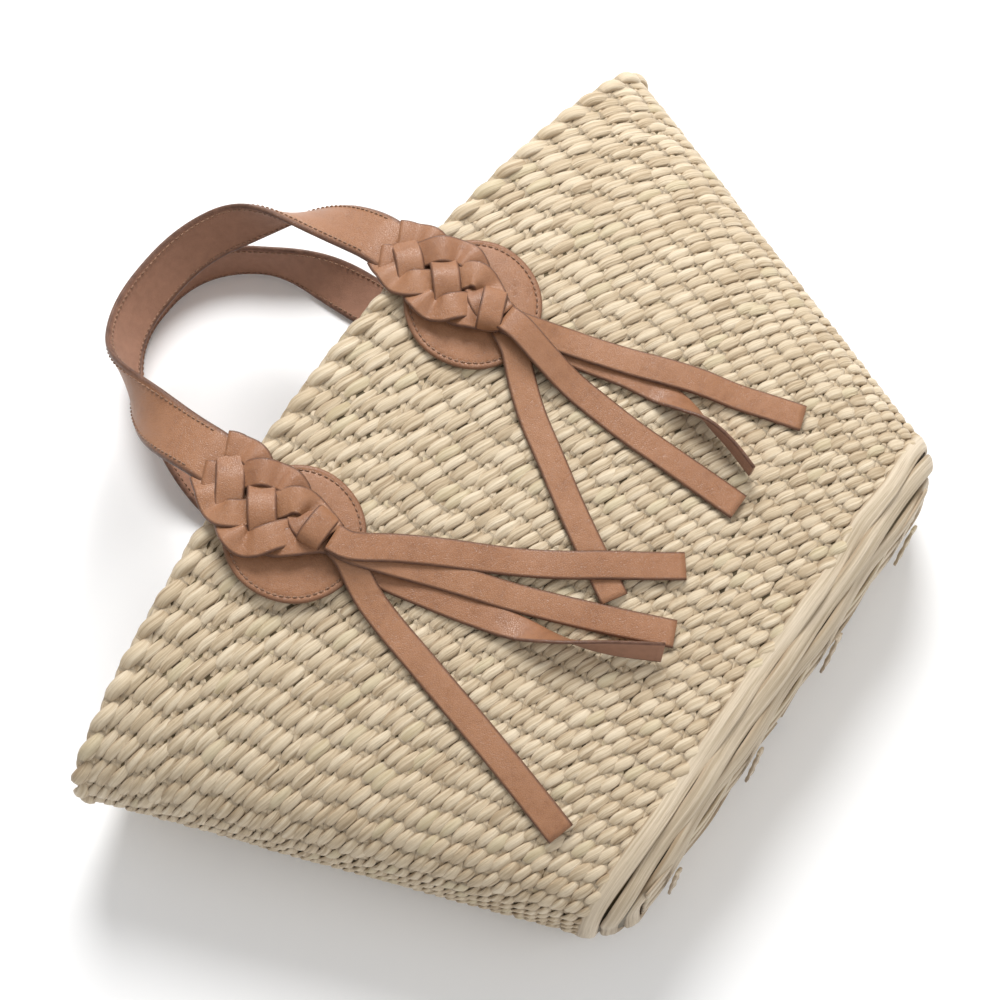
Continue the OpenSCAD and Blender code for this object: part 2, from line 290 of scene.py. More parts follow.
def stitches(builder, path, normals, pitch, radius):
    """Adds a row of thread stitches along a path, each dipping into the leather at its ends."""
    run = length_along(path)
    count = int(run[-1] // pitch)
    around = np.linspace(0, 2 * math.pi, 6, endpoint=False)
    t = np.linspace(0, 1, 6)
    gap = 0.12
    for k in range(count):
        places = (k + gap + (1 - 2 * gap) * t) * run[-1] / count
        line = np.stack([np.interp(places, run, path[:, c]) for c in range(3)], -1)
        up = unit(np.stack([np.interp(places, run, normals[:, c]) for c in range(3)], -1))
        line = line + up * (radius * (2.1 * np.sin(math.pi * t) ** 0.6 - 1.2))[:, None]
        tangent = along_of(line)
        side = unit(np.cross(tangent, up))
        top = np.cross(side, tangent)
        swell = (radius * (0.75 + 0.25 * np.sin(math.pi * t)))[:, None, None]
        rings = line[:, None] + swell * (
            side[:, None] * np.cos(around)[None, :, None] + top[:, None] * np.sin(around)[None, :, None]
        )
        shape = rings.shape[:2]
        lay = np.stack([np.broadcast_to(places[:, None], shape), np.broadcast_to(around * radius, shape),
                        np.full(shape, k * 0.37 % 1)], -1)
        builder.tube(rings, lay, np.zeros(3))


# ---- Materials ----


def add(tree, kind, **values):
    """Adds a node and sets its properties and, by name or number, its inputs."""
    made = tree.nodes.new(kind)
    for key, value in values.items():
        if key == "inputs":
            for name, given in value.items():
                if isinstance(given, bpy.types.NodeSocket):
                    tree.links.new(given, made.inputs[name])
                else:
                    made.inputs[name].default_value = given
        else:
            setattr(made, key, value)
    return made


def noise(tree, vector, scale, detail, roughness=0.5):
    made = add(tree, "ShaderNodeTexNoise",
               inputs={"Vector": vector, "Scale": scale, "Detail": detail, "Roughness": roughness})
    return made.outputs["Fac"]


def ramp(tree, value, stops):
    """A colour ramp of (position, colour) stops."""
    made = add(tree, "ShaderNodeValToRGB", inputs={"Fac": value})
    elements = made.color_ramp.elements
    while len(elements) < len(stops):
        elements.new(0.5)
    for element, (position, colour) in zip(elements, stops):
        element.position = position
        element.color = (*colour, 1)
    return made.outputs["Color"]


def mix(tree, share, a, b, blend="MIX"):
    made = add(tree, "ShaderNodeMix", data_type="RGBA", blend_type=blend)
    for name, given in ((0, share), (6, a), (7, b)):
        if isinstance(given, bpy.types.NodeSocket):
            tree.links.new(given, made.inputs[name])
        else:
            made.inputs[name].default_value = given if name == 0 else (*given, 1)
    return made.outputs[2]


def calc(tree, operation, a, b=0.0, c=0.0):
    made = add(tree, "ShaderNodeMath", operation=operation)
    for k, given in enumerate((a, b, c)):
        if isinstance(given, bpy.types.NodeSocket):
            tree.links.new(given, made.inputs[k])
        else:
            made.inputs[k].default_value = given
    return made.outputs[0]


def new_group(name, inputs, outputs):
    """A shader node group with float inputs and outputs."""
    group = bpy.data.node_groups.new(name, "ShaderNodeTree")
    for key, default in inputs.items():
        socket = group.interface.new_socket(key, in_out="INPUT", socket_type="NodeSocketFloat")
        socket.default_value = default
    for key in outputs:
        group.interface.new_socket(key, in_out="OUTPUT", socket_type="NodeSocketFloat")
    return group, add(group, "NodeGroupInput"), add(group, "NodeGroupOutput")


def strand_group():
    """Streaks that run along a strand, and a number that is the same all over one strand or stitch."""
    group, given, result = new_group(
        "Strand Streaks", {"Along": 40.0, "Across": 700.0},
        ("Streaks", "Fibres", "Number", "Edge", "Flesh", "Dive Shade"),
    )
    lay = add(group, "ShaderNodeAttribute", attribute_name="lay")
    mark = add(group, "ShaderNodeAttribute", attribute_name="mark")
    parts = add(group, "ShaderNodeSeparateXYZ", inputs={0: lay.outputs["Vector"]})
    marks = add(group, "ShaderNodeSeparateXYZ", inputs={0: mark.outputs["Vector"]})
    fibre = add(group, "ShaderNodeCombineXYZ", inputs={
        0: calc(group, "MULTIPLY", parts.outputs[0], given.outputs["Along"]),
        1: calc(group, "MULTIPLY", parts.outputs[1], given.outputs["Across"]),
        2: calc(group, "MULTIPLY", parts.outputs[2], 61.0),
    })
    broad = noise(group, fibre.outputs[0], 1.0, 2.0)
    fine = noise(group, fibre.outputs[0], 3.1, 4.0, 0.65)
    made = (broad, fine, parts.outputs[2], *marks.outputs)
    for value, socket in zip(made, result.inputs):
        group.links.new(value, socket)
    return group


def grain_group():
    """Pores, creases and clouds of leather, by place."""
    group, given, result = new_group("Leather Grain", {"Scale": 1.0}, ("Cloud", "Blotch", "Pores"))
    spot = add(group, "ShaderNodeTexCoord")
    scaled = add(group, "ShaderNodeVectorMath", operation="SCALE",
                 inputs={0: spot.outputs["Object"], "Scale": given.outputs["Scale"]}).outputs[0]
    cells = add(group, "ShaderNodeTexVoronoi", feature="DISTANCE_TO_EDGE",
                inputs={"Vector": scaled, "Scale": 1100.0})
    made = (noise(group, scaled, 45.0, 4.0), noise(group, scaled, 220.0, 5.0, 0.6), cells.outputs["Distance"])
    for value, socket in zip(made, result.inputs):
        group.links.new(value, socket)
    return group


def new_material(name, roughness, sheen):
    """A material with its node tree and its shader."""
    material = bpy.data.materials.new(name)
    material.use_nodes = True
    tree = material.node_tree
    shader = tree.nodes["Principled BSDF"]
    shader.inputs["Roughness"].default_value = roughness
    shader.inputs["Sheen Weight"].default_value = sheen
    shader.inputs["Specular IOR Level"].default_value = 0.35
    return material, tree, shader


def use_group(tree, group, **inputs):
    made = add(tree, "ShaderNodeGroup", node_tree=group)
    for name, value in inputs.items():
        made.inputs[name].default_value = value
    return made.outputs


def bump(tree, shader, height, depth, strength=1.0):
    made = add(tree, "ShaderNodeBump", inputs={"Height": height, "Strength": strength, "Distance": depth})
    tree.links.new(made.outputs["Normal"], shader.inputs["Normal"])


def straw_material(name, strands, dark, middle, light, along, across):
    """Dried straw: long fibres, each stitch its own tone, with painted shade where it dives into the weave
    and along its edges.
    """
    material, tree, shader = new_material(name, 0.62, 0.15)
    out = use_group(tree, strands, Along=along, Across=across)
    tone = calc(tree, "MULTIPLY_ADD", out["Streaks"], 0.6, calc(tree, "MULTIPLY", out["Number"], 0.12))
    colour = ramp(tree, tone, [(0.10, dark), (0.32, middle), (0.46, light)])
    threads = ramp(tree, out["Fibres"], [(0.3, (0.62, 0.56, 0.48)), (0.55, (1, 1, 1))])
    colour = mix(tree, 0.55, colour, threads, "MULTIPLY")
    green = calc(tree, "GREATER_THAN", out["Number"], 0.93)
    colour = mix(tree, calc(tree, "MULTIPLY", green, 0.3), colour, (0.42, 0.36, 0.18))
    # Painted shade: darker where a strand dives behind its partner
    dive_shade_share = calc(tree, "MULTIPLY", out["Dive Shade"], 0.3)
    # Painted shade along the edges of strands and splints, for the dark slits between them
    rim = calc(tree, "MULTIPLY", out["Edge"], 0.5)
    colour = mix(tree, calc(tree, "MAXIMUM", dive_shade_share, rim), colour, dark)
    tree.links.new(colour, shader.inputs["Base Color"])
    height = calc(tree, "MULTIPLY_ADD", out["Streaks"], 0.6, calc(tree, "MULTIPLY", out["Fibres"], 0.5))
    bump(tree, shader, height, 0.0011, 0.8)
    return material


def leather_material(name, strands, grain, light, middle, dark, edge, flesh):
    """Tan leather with a rough flesh side and burnished edges."""
    material, tree, shader = new_material(name, 0.4, 0.05)
    shader.inputs["Specular IOR Level"].default_value = 0.5
    out = use_group(tree, strands, Along=60.0, Across=260.0)
    skin = use_group(tree, grain)
    tone = calc(tree, "MULTIPLY_ADD", skin["Blotch"], 0.6, calc(tree, "MULTIPLY", skin["Cloud"], 0.45))
    colour = ramp(tree, tone, [(0.30, dark), (0.50, middle), (0.76, light)])
    tint = ramp(tree, out["Number"], [(0.0, (0.90, 0.86, 0.84)), (1.0, (1.0, 1.0, 1.0))])
    colour = mix(tree, 1.0, colour, tint, "MULTIPLY")
    pores = ramp(tree, skin["Pores"], [(0.0, (0.72, 0.66, 0.62)), (0.12, (1, 1, 1))])
    colour = mix(tree, 0.5, colour, pores, "MULTIPLY")
    back = mix(tree, skin["Blotch"], flesh, tuple(0.62 * v for v in flesh))
    colour = mix(tree, out["Flesh"], colour, back)
    rubbed = calc(tree, "MULTIPLY", out["Edge"], calc(tree, "MULTIPLY_ADD", skin["Blotch"], 0.9, 0.35))
    colour = mix(tree, rubbed, colour, edge)
    tree.links.new(colour, shader.inputs["Base Color"])
    uneven = calc(tree, "MULTIPLY_ADD", skin["Blotch"], 0.25, 0.27)
    rough = calc(tree, "MULTIPLY_ADD", out["Flesh"], 0.3, uneven)
    tree.links.new(rough, shader.inputs["Roughness"])
    pits = calc(tree, "MINIMUM", skin["Pores"], 0.14)
    bump(tree, shader, calc(tree, "MULTIPLY_ADD", pits, 2.2, skin["Blotch"]), 0.00035, 0.7)
    return material


def thread_material(name, strands, light, dark):
    """Waxed thread with the streaks of its twist."""
    material, tree, shader = new_material(name, 0.5, 0.2)
    out = use_group(tree, strands, Along=2600.0, Across=1500.0)
    colour = ramp(tree, out["Streaks"], [(0.35, dark), (0.65, light)])
    tree.links.new(colour, shader.inputs["Base Color"])
    bump(tree, shader, out["Streaks"], 0.0003)
    return material


def stage_material(name, colour, roughness):
    """A plain matt surface for the floor."""
    material, tree, shader = new_material(name, roughness, 0.0)
    speck = add(tree, "ShaderNodeTexNoise", inputs={"Scale": 9.0, "Detail": 2.0})
    pale = mix(tree, speck.outputs["Fac"], colour, tuple(0.985 * v for v in colour))
    tree.links.new(pale, shader.inputs["Base Color"])
    shader.inputs["Specular IOR Level"].default_value = 0.1
    return material


MATERIALS = {}


def get_material(key):
    """The bag's materials, made once and shared by all operators."""
    if not MATERIALS:
        strands, grain = strand_group(), grain_group()
        MATERIALS["straw"] = straw_material(
            "straw", strands, (0.25, 0.155, 0.075), (0.60, 0.48, 0.325), (0.735, 0.62, 0.455),
            along=26.0, across=620.0,
        )
        MATERIALS["splint"] = straw_material(
            "splint", strands, (0.25, 0.165, 0.09), (0.54, 0.44, 0.31), (0.68, 0.57, 0.43),
            along=16.0, across=520.0,
        )
        # Near-black straw for the weave's core: painted shade seen through the gaps
        MATERIALS["core"] = straw_material(
            "weave_shadow", strands, (0.05, 0.035, 0.015), (0.11, 0.08, 0.035), (0.18, 0.13, 0.06),
            along=60.0, across=200.0,
        )
        MATERIALS["leather"] = leather_material(
            "tan_leather", strands, grain,
            light=(0.380, 0.182, 0.090), middle=(0.332, 0.152, 0.070), dark=(0.260, 0.113, 0.050),
            edge=(0.075, 0.028, 0.014), flesh=(0.40, 0.20, 0.125),
        )
        MATERIALS["thread"] = thread_material(
            "waxed_thread", strands, light=(0.36, 0.20, 0.12), dark=(0.13, 0.06, 0.03)
        )
        MATERIALS["floor"] = stage_material("studio_floor", (0.97, 0.97, 0.97), 0.9)
    return MATERIALS[key]


def place(made, body, slot, *nodes):
    """Hangs a finished piece on its body and lets it stand for CAD nodes."""
    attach(made, body)
    if nodes:
        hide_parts(*nodes)
    return made


# ---- Woven straw ----

CORE_LOW, CORE_INSET, CORE_T = 0.004, 0.0023, 0.0003
# The wall's rows start this far below the top of the base's round edge, and stop this far below the rim
ROW_START, ROW_END = 0.0015, 0.003
# Splints round the base edge, as places on its arc, and splints and stakes across the bottom
EDGE_SPLINTS = (0.16, 0.44, 0.76)
BOTTOM_SPLINTS = range(-2, 3)
STAKES = (-3, -1, 1, 3)
STAKE_STEP = 0.033
SPLINT_STEP, SPLINT_W = 0.0115, 0.0112
SPLINT_SWAY = 0.0010
SPLINT_LEVEL = -MID_H + 0.0014
# The stakes: their width, their sway's step, and how far they stand out of the bag's bottom
STAKE_W, STAKE_WAVE, STAKE_OUT = 0.0050, 0.0095, 0.0042
# The lowest middle line that a splint may have
STRIP_FLOOR = 0.0009


def round_shell(h, step, seam=0.0):
    """Points about step apart round the shell at height h, with the run from the front's middle,
    the outward direction and the upward direction. It starts and ends at the middle of the back."""
    angles = np.radians(np.linspace(270, -90, 1441))
    here = shell_points(h, angles)
    rise = 0.001
    upward = unit(shell_points(h + rise, angles) - shell_points(h, angles))
    run = length_along(here)
    wanted = np.linspace(seam, run[-1] - seam, int((run[-1] - 2 * seam) / step) + 1)

    def at(values):
        return np.stack([np.interp(wanted, run, values[:, c]) for c in range(3)], -1)

    point, up = at(here), unit(at(upward))
    outward = unit(np.cross(along_of(point), up))
    return point, wanted - run[-1] / 2, outward, up


def twined_row(builder, rng, h, look, number):
    """One row of two straw strands twined round each other, so that each shows as slanting leaves.

    look holds step (length of a leaf), rings and sides (points along a leaf and round a strand),
    depth and rise (how far a strand swings in and up), middle (depth of the row's middle line),
    narrow and swell (width at a leaf's ends and what its middle adds), thick, lean (tilt of a leaf's face),
    wobble (wander of the row) and shift (the turn at which the row starts)."""
    point, run, outward, up = round_shell(h, look["step"] / look["rings"])
    around = np.linspace(0, 2 * math.pi, look["sides"], endpoint=False)
    wobble = np.interp(run, np.linspace(run[0], run[-1], 40), rng.normal(0, look["wobble"], 40))
    for strand in (0, 1):
        turn = math.pi * (run / look["step"] + strand) + look["shift"]
        leaf = np.floor(turn / math.pi).astype(int)
        leaf -= leaf.min()
        tone = rng.random(leaf.max() + 1)
        fat = 1 + rng.normal(0, 0.07, leaf.max() + 1)
        shown = np.abs(np.sin(turn))
        depth = look["depth"] * np.sin(turn) - look["middle"]
        rise = look["rise"] * np.cos(turn) + wobble
        line = point + outward * depth[:, None] + up * rise[:, None]
        along = along_of(line)
        across = unit(np.cross(outward, along))
        top = np.cross(along, across)
        c, s = math.cos(look["lean"]), math.sin(look["lean"])
        across, top = across * c + top * s, top * c - across * s
        swell = np.interp(run, run[:: look["rings"]], fat[leaf[:: look["rings"]]])
        width = (look["narrow"] + look["swell"] * shown**0.6) * swell / 2
        thick = look["thick"] / 2 * (0.85 + 0.25 * shown)
        folds = np.sin(3 * around + 2.0 * strand + number)[None, :]
        crease = 1 + 0.10 * folds * np.sin(run * 160 + number)[:, None]
        u = width[:, None] * np.cos(around)[None, :] * crease
        v = thick[:, None] * bent(np.sin(around), 0.8)[None, :] * crease
        rings = line[:, None] + across[:, None] * u[..., None] + top[:, None] * v[..., None]
        tones = np.broadcast_to(tone[leaf][:, None], u.shape)
        lay = np.stack([np.broadcast_to(run[:, None], u.shape), u, tones], -1)
        # Painted shade: 1 where the strand dives behind its partner, 0 where its leaf faces out
        dive_shade = np.broadcast_to(((1 - shown) ** 1.6)[:, None], u.shape)
        # Painted shade along the strand's edges, for the dark slits between leaves
        edge = np.broadcast_to((np.cos(around) ** 6)[None, :], u.shape)
        builder.tube(rings, lay, np.stack([edge, np.zeros_like(dive_shade), dive_shade], -1))


def shell_core(builder, low, high, rows, inset):
    """A thin dark skin in the middle of the weave, seen only through its gaps; its dark colour is painted
    shade.
    """
    angles = np.radians(np.arange(0, 360, 4))
    heights = np.linspace(low, high, rows)
    outer = [shell_points(h, angles, inset) for h in heights]
    inner = [shell_points(h, angles, inset + CORE_T) for h in heights[::-1]]
    section = np.stack(outer + inner, 1)
    lay = np.stack([section[..., 0] * 0.2, section[..., 1], section[..., 2]], -1)
    builder.tube(section, lay, np.zeros(3), closed=True)


def edge_arc(t):
    """Height on the rounded base edge, t from 0 where it leaves the wall to 1 where it meets the bottom."""
    return BASE_ROUND * (1 - np.sin(t * math.pi / 2))


def girth(x):
    """The line across the bottom at one x, from front to back, and its direction up into the bag."""
    h = edge_arc(np.linspace(0.985, 1, 4))
    inset = tuck(h)
    n = square(h)
    fall = (1 - (np.abs(x) / (half_w(h) - inset)) ** n) ** (1 / n)
    reach = (half_d(h) - DEPTH_SHARE * inset) * fall
    front = np.stack([np.full_like(h, x), h - MID_H, settle(half_d(h) + reach, h)], -1)
    back = np.stack([np.full_like(h, x), h - MID_H, settle(half_d(h) - reach, h)], -1)
    line = resample(np.vstack([front, back[::-1]]), 0.0022)
    return line, unit(np.cross(along_of(line), np.array([-1.0, 0.0, 0.0])))


def floor_safe(path):
    """Keeps a strip's line above the floor."""
    path[:, 2] = np.maximum(path[:, 2], STRIP_FLOOR)
    return path


# ---- Leather ----

STRAP_W, STRAP_T = 0.026, 0.003
REAR_FOLD_Y = 0.136
# Plait: where it starts past the keeper's centre and ends short of it, and its turns
PLAIT_START, PLAIT_END = 0.0575, -0.0072
PLAIT_TURNS = math.pi * 1.5
PLAIT_LEVEL = 0.0088
# Each side's plait: middle, heights of its thongs in the keeper, the keeper's slant in degrees,
# the plait's spread, and its sideways bulge
PLAITS = {
    "left": (LEFT_X, (0.0066, 0.0086, 0.0106, 0.0126), 0.0, 0.0178, 0.0075),
    "right": (RIGHT_X, (0.0074, 0.0094, 0.0114, 0.0062), 24.0, 0.0158, 0.0),
}
PAD_THREAD_R = 0.00045
# Keeper: half its width and height, its middle's height over the panel, and the length of its band
KEEPER_REACH, KEEPER_HALF_H, KEEPER_LEVEL, KEEPER_BAND = 0.0081, 0.0054, 0.0096, 0.0118
# Rear tabs: length, thickness, middle's height, and the gap to the fold line
TAB_L, TAB_T, TAB_LEVEL, TAB_GAP = 0.062, 0.0015, 0.00095, 0.0025


def plait_line(index, spread, bulge, stack):
    """One of four thongs of a flat plait: across, along and height over the panel.
    It starts as a quarter of the strap and ends stacked in the keeper, at the height stack."""
    t = np.linspace(0, 1, 90)
    turn = math.pi / 4 + t * PLAIT_TURNS + index * math.pi / 2
    wide = spread * np.interp(t, [0, 0.1, 0.3, 0.62, 0.86, 1], [0.68, 0.70, 0.95, 1.0, 0.35, 0.08])
    over = np.clip(np.sin(turn) * 3, -1, 1)
    weave = -np.cos(4 * turn) * over
    deep = 0.0024 * np.interp(t, [0, 0.1, 0.3, 0.75, 0.9, 1], [0.32, 0.55, 1.0, 1.0, 0.6, 0])
    middle = np.interp(t, [0, 0.18, 0.45, 0.8], [0.0023, 0.0046, 0.0082, PLAIT_LEVEL])
    gathered = smooth((t - 0.8) / 0.2)
    height = lerp(middle + weave * deep, stack, gathered)
    x = -wide * np.cos(turn) - bulge * np.sin(math.pi * t) ** 1.5
    return np.stack([x, lerp(PLAIT_START, PLAIT_END, t), height], -1)


def length_setting(name, default, description):
    return bpy.props.FloatProperty(name=name, default=default, description=description, unit="LENGTH")


class BagOperator:
    """Shared by the bag's operators: they can be undone."""

    bl_options = {"REGISTER", "UNDO"}


class WeaveSettings(bpy.types.PropertyGroup):
    """Sizes of the straw weave"""

    step: length_setting("Stitch Step", 0.0155, "Distance between stitches along the rim")
    low_pitch: length_setting("Row Pitch at Base", 0.0057, "Distance between rows near the base")
    high_pitch: length_setting("Row Pitch at Rim", 0.0051, "Distance between rows near the rim")
    bands: bpy.props.IntProperty(
        name="Bands", description="Separate pieces that the rows are shared between", default=5, min=1
    )
    seed: bpy.props.IntProperty(name="Seed", description="Which random straw is drawn", default=11)


class LeatherSettings(bpy.types.PropertyGroup):
    """Sizes of the leather"""

    pad_radius: length_setting("Pad Radius", PAD_R, "Radius of a round pad")
    strap_width: length_setting("Strap Width", STRAP_W, "Width of a handle strap")
    lace_width: length_setting("Lace Width", LACE_W, "Width of a tassel lace")
    lace_thickness: length_setting("Lace Thickness", LACE_T, "Thickness of a tassel lace")
    stitch_pitch: length_setting("Stitch Pitch", 0.003, "Length of a thread stitch with its gap")


class StageSettings(bpy.types.PropertyGroup):
    """Camera and lights"""

    azimuth: bpy.props.FloatProperty(
        name="Azimuth", default=math.radians(-54.6), subtype="ANGLE",
        description="Direction the camera looks from",
    )
    elevation: bpy.props.FloatProperty(
        name="Elevation", default=math.radians(70.5), subtype="ANGLE",
        description="Camera's angle above the floor",
    )
    distance: length_setting("Distance", 1.0, "Camera to the middle of the bag")
    lens: bpy.props.FloatProperty(name="Lens", description="Focal length in millimetres", default=75.0)
    key: bpy.props.FloatProperty(name="Key Light", default=34.0, description="Power in watts")
    fill: bpy.props.FloatProperty(name="World Light", default=0.55, description="Strength all round")


class BEACHBAG_OT_weave_wall(BagOperator, bpy.types.Operator):
    """Twine the rows of the wall"""

    bl_idname = "beachbag.weave_wall"
    bl_label = "Weave Wall"

    def execute(self, context):
        settings = context.scene.beachbag_weave
        rng = np.random.default_rng(settings.seed)
        core = Builder()
        shell_core(core, CORE_LOW, BAG_H, 24, CORE_INSET)
        place(core.make("weave_core", get_material("core")), "root", "straw", "woven_wall")
        heights = [BASE_ROUND - ROW_START]
        while heights[-1] < BAG_H - ROW_END:
            share = heights[-1] / BAG_H
            heights.append(heights[-1] + lerp(settings.low_pitch, settings.high_pitch, share))
        bands = np.array_split(np.arange(len(heights)), settings.bands)
        for number, band in enumerate(bands):
            rows = Builder()
            for k in band:
                h = heights[k]
                look = {
                    "step": settings.step * lerp(BASE_W / RIM_W, 1.0, h / BAG_H),
                    "rings": 8, "sides": 8, "depth": 0.0011, "middle": 0.0024,
                    "rise": lerp(0.0018, 0.0020, h / BAG_H), "narrow": 0.0026, "swell": 0.0032,
                    "thick": 0.0019, "lean": 0.16, "wobble": 0.0004,
                    "shift": rng.normal(0, 0.35),
                }
                twined_row(rows, rng, h, look, k)
            place(rows.make(f"wall_weave_{number + 1}", get_material("straw")), "root", "straw")
        return {"FINISHED"}


class BEACHBAG_OT_bind_rim(BagOperator, bpy.types.Operator):
    """Bind the rim with a thicker twist of straw"""

    bl_idname = "beachbag.bind_rim"
    bl_label = "Bind Rim"

    def execute(self, context):
        settings = context.scene.beachbag_weave
        rng = np.random.default_rng(settings.seed + 1)
        rim = Builder()
        look = {
            "step": settings.step, "rings": 10, "sides": 10, "depth": 0.0024, "middle": 0.0030,
            "rise": 0.0021, "narrow": 0.0042, "swell": 0.0028, "thick": 0.0038, "lean": 0.0,
            "wobble": 0.0003, "shift": 0.6,
        }
        above_wall = 0.0022
        twined_row(rim, rng, BAG_H + above_wall, look, 3)
        place(rim.make("rim_twist", get_material("straw")), "root", "straw", "rim_border")
        return {"FINISHED"}


class BEACHBAG_OT_weave_base(BagOperator, bpy.types.Operator):
    """Plait the flat splints of the base and its rounded edge"""

    bl_idname = "beachbag.weave_base"
    bl_label = "Weave Base"

    def execute(self, context):
        settings = context.scene.beachbag_weave
        rng = np.random.default_rng(settings.seed + 2)
        base = Builder()
        for k, t in enumerate(EDGE_SPLINTS):
            point, run, outward, up = round_shell(float(edge_arc(t)), 0.003, 0.002)
            drift = np.interp(run, np.linspace(run[0], run[-1], 30), rng.normal(0, 1, 30))
            sway = -SPLINT_SWAY * (-1) ** k * np.cos(math.pi * run / STAKE_STEP) + 0.0003 * drift
            line = floor_safe(point + outward * (sway - 0.0016)[:, None] + up * (0.0007 * drift)[:, None])
            wide = 0.0088 + 0.0005 * drift
            strip(base, line, outward, wide, 0.0018, cup=0.0012, seed=rng.random())
        half = half_w(0.0) - BASE_ROUND
        x = np.linspace(-half, half, 90)
        for k in BOTTOM_SPLINTS:
            sway = -SPLINT_SWAY * (-1) ** k * np.cos(math.pi * x / STAKE_STEP)
            line = np.stack([x, SPLINT_LEVEL - sway, np.full_like(x, BASE_D / 2 + k * SPLINT_STEP)], -1)
            down = np.broadcast_to(np.array([0.0, -1.0, 0.0]), line.shape)
            strip(base, line, down, SPLINT_W, 0.0014, cup=0.0006, seed=rng.random())
        for j in STAKES:
            line, inward = girth(j * STAKE_STEP)
            run = length_along(line)
            sway = 0.2 * SPLINT_SWAY * (-1) ** j * np.cos(math.pi * (run - run[-1] / 2) / STAKE_WAVE)
            line = floor_safe(line + inward * (sway - STAKE_OUT)[:, None])
            strip(base, line, inward, STAKE_W, 0.0013, cup=0.0006, seed=rng.random())
        made = base.make("base_weave", get_material("splint"))
        place(made, "root", "straw", "woven_base", "base_splints")
        return {"FINISHED"}


def pad(builder, radius, thick, transform):
    """A round leather pad with a rounded edge and a pressed groove. Gives back the groove's line."""
    groove = radius - 0.0027
    half_t = thick / 2
    outline = [
        (0.0, half_t), (radius * 0.4, half_t * 1.12), (groove - 0.002, half_t * 1.05),
        (groove - 0.0007, half_t * 0.92), (groove, half_t * 0.72), (groove + 0.0007, half_t * 0.92),
        (radius - 0.0009, half_t * 0.9), (radius - 0.0002, half_t * 0.55), (radius, 0.0),
        (radius - 0.0003, -half_t * 0.6), (radius - 0.001, -half_t), (radius * 0.4, -half_t), (0.0, -half_t),
    ]
    r = np.array([max(a, 0.00005) for a, _ in outline])
    z = np.array([b for _, b in outline])
    turn = np.linspace(0, 2 * math.pi, 120, endpoint=False)
    wobble = 1 + 0.004 * np.sin(3 * turn + 1) + 0.003 * np.sin(7 * turn)
    rings = np.stack([
        np.outer(r, np.cos(turn) * wobble), np.outer(r, np.sin(turn) * wobble),
        np.repeat(z[:, None], len(turn), 1),
    ], -1)
    lay = np.stack([rings[..., 0], rings[..., 1], np.full(rings.shape[:2], 0.6)], -1)
    edge = np.clip((r - groove) / (radius - groove) * 0.9 - 0.1, 0, 1) ** 1.5
    flesh = (z < -half_t * 0.9).astype(float)
    columns = (edge, flesh, np.zeros_like(edge))
    mark = np.stack([np.repeat(v[:, None], len(turn), 1) for v in columns], -1)
    builder.tube(transform(rings), lay, mark)
    circle = np.linspace(0, 2 * math.pi, 200)
    level = np.full_like(circle, half_t * 0.8)
    return transform(np.stack([groove * np.cos(circle), groove * np.sin(circle), level], -1))


class BEACHBAG_OT_cut_pads(BagOperator, bpy.types.Operator):
    """Cut and stitch the round pads"""

    bl_idname = "beachbag.cut_pads"
    bl_label = "Cut Pads"

    def execute(self, context):
        settings = context.scene.beachbag_leather
        radius = settings.pad_radius
        for side, (x, y, rear_x) in PADS.items():
            front, thread = Builder(), Builder()
            seam = pad(front, radius, PAD_T, lambda p, x=x, y=y: on_front(p + UP * PAD_RISE, x, y))
            outward = np.broadcast_to(PANEL_OUT, seam.shape)
            stitches(thread, seam, outward, settings.stitch_pitch, PAD_THREAD_R)
            made = front.make(f"{side}_pad_leather", get_material("leather"))
            place(made, "root", "leather", f"front_{side}_pad")
            made = thread.make(f"{side}_pad_stitches", get_material("thread"))
            place(made, "root", "thread", f"front_{side}_pad_thread")
            rear = Builder()
            spot = np.array([rear_x, PAD_Y - PAD_SINK, REAR_PAD_RISE])
            pad(rear, radius, REAR_PAD_T, lambda p, spot=spot: p * np.array([1, 1, -1]) + spot)
            made = rear.make(f"{side}_rear_pad_leather", get_material("leather"))
            place(made, "root", "leather", f"rear_{side}_pad")
            patches = {
                "front": lambda p, x=x: on_front(p - UP * PATCH_DEPTH, x, PATCH_Y),
                "rear": lambda p, rear_x=rear_x: p + np.array([rear_x, PATCH_Y, PATCH_RISE]),
            }
            for panel, hold in patches.items():
                patch = Builder()
                pad(patch, PATCH_R, PATCH_T, hold)
                made = patch.make(f"{side}_{panel}_patch_leather", get_material("leather"))
                place(made, "root", "leather", f"{panel}_{side}_backing")
        return {"FINISHED"}


class BEACHBAG_OT_plait_thongs(BagOperator, bpy.types.Operator):
    """Plait the four thongs of each front fitting and wrap them with a keeper"""

    bl_idname = "beachbag.plait_thongs"
    bl_label = "Plait Thongs"

    def execute(self, context):
        settings = context.scene.beachbag_leather
        width, thick = settings.lace_width, settings.lace_thickness
        for side, (x, stack, lean, spread, bulge) in PLAITS.items():
            plait = Builder()
            for index, height in enumerate(stack):
                line = plait_line(index, spread, bulge, height)
                line = resample(on_front(line, x, KNOT_Y), 0.0016)
                outward = np.broadcast_to(PANEL_OUT, line.shape)
                strip(plait, line, outward, width, thick, cup=0.0005, wave=0.0001, seed=index * 0.27)
            made = plait.make(f"{side}_plait_thongs", get_material("leather"))
            place(made, "root", "leather", f"{side}_plait")
            band = Builder()
            turn = np.linspace(0, 2 * math.pi, 48, endpoint=False)
            slope = math.tan(math.radians(lean))
            reach = KEEPER_REACH * bent(np.cos(turn), 0.7)
            level = KEEPER_LEVEL + KEEPER_HALF_H * bent(np.sin(turn), 0.7)
            loop = on_front(np.stack([reach, reach * slope - 0.001, level], -1), x, KNOT_Y)
            centre = on_front(np.array([0.0, 0.0, KEEPER_LEVEL]), x, KNOT_Y)
            strip(band, loop, unit(loop - centre), KEEPER_BAND, LACE_T, cup=0.0005, seed=0.4, closed=True)
            made = band.make(f"{side}_keeper_band", get_material("leather"))
            place(made, "root", "leather", f"{side}_keeper")
        return {"FINISHED"}


